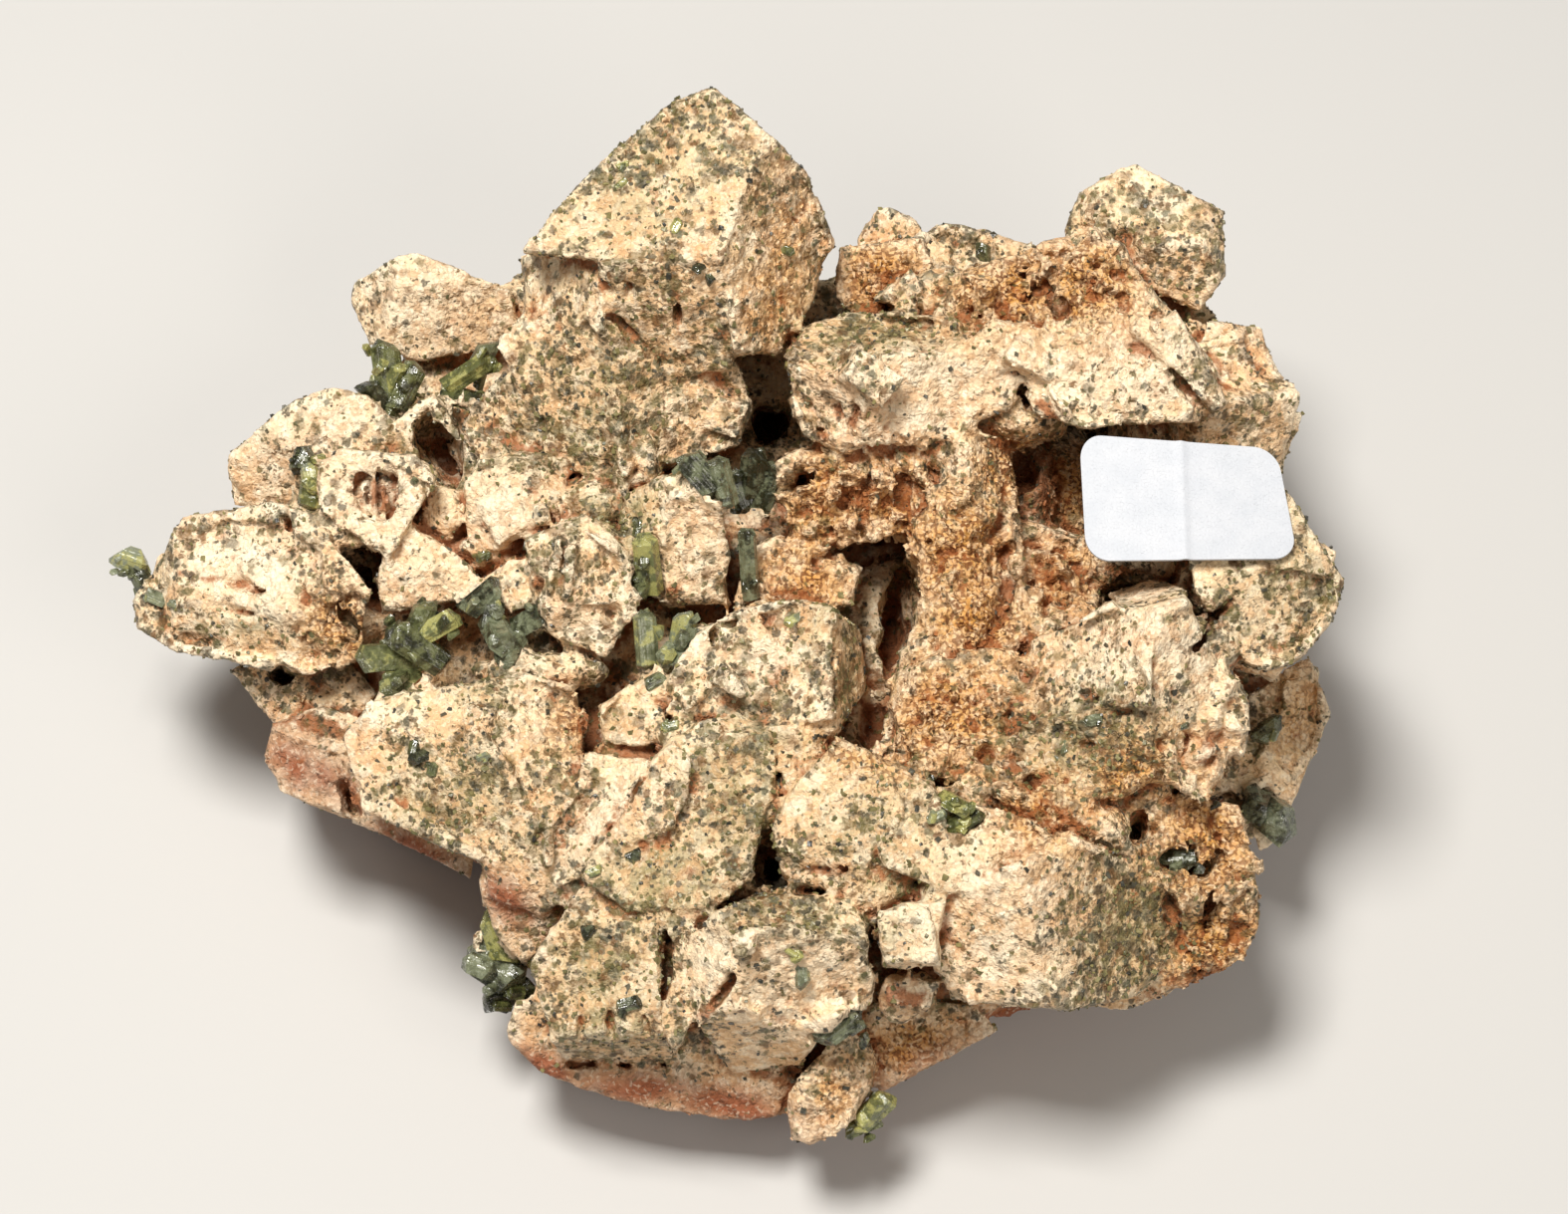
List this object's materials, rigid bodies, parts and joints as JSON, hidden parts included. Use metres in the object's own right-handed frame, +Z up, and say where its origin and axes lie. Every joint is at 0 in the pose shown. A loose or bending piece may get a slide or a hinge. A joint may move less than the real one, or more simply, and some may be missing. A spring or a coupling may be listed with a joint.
{
  "type": "epidote crystal cluster",
  "caption": "Mineral specimen of blocky cream feldspar crystals grown together, with sprays of small glassy green epidote prisms in the seams and a blank paper label, lying on a table.",
  "frame": {"origin": "on the table, under the middle of the specimen's bounding box", "axes": "+Z up, +X to the right of the portrait view, +Y away from its viewer"},
  "size_m": [0.1032, 0.086, 0.0512],
  "materials": {
    "feldspar": "rough cream to orange feldspar with rusty seams and dark specks",
    "epidote": "glassy dark green, striated along the prisms",
    "paper": "matt white paper, blank"
  },
  "bodies": {
    "root": {"feldspar_cluster": "feldspar", "paper_label": "paper", "epidote_left_tip": "epidote", "epidote_far_seam": "epidote", "epidote_far_spray": "epidote", "epidote_left_prism": "epidote", "epidote_band": "epidote", "epidote_glassy": "epidote", "epidote_beside": "epidote", "epidote_crown": "epidote", "epidote_gap": "epidote", "epidote_blade": "epidote", "epidote_pale_left": "epidote", "epidote_pale_right": "epidote", "epidote_bottom_left": "epidote", "epidote_front": "epidote", "epidote_foot_tip": "epidote", "epidote_right_edge": "epidote", "epidote_right_notch": "epidote", "epidote_middle": "epidote", "epidote_pit": "epidote", "epidote_back_seam": "epidote", "epidote_back_right": "epidote", "epidote_right_low": "epidote"}
  },
  "joints": []
}
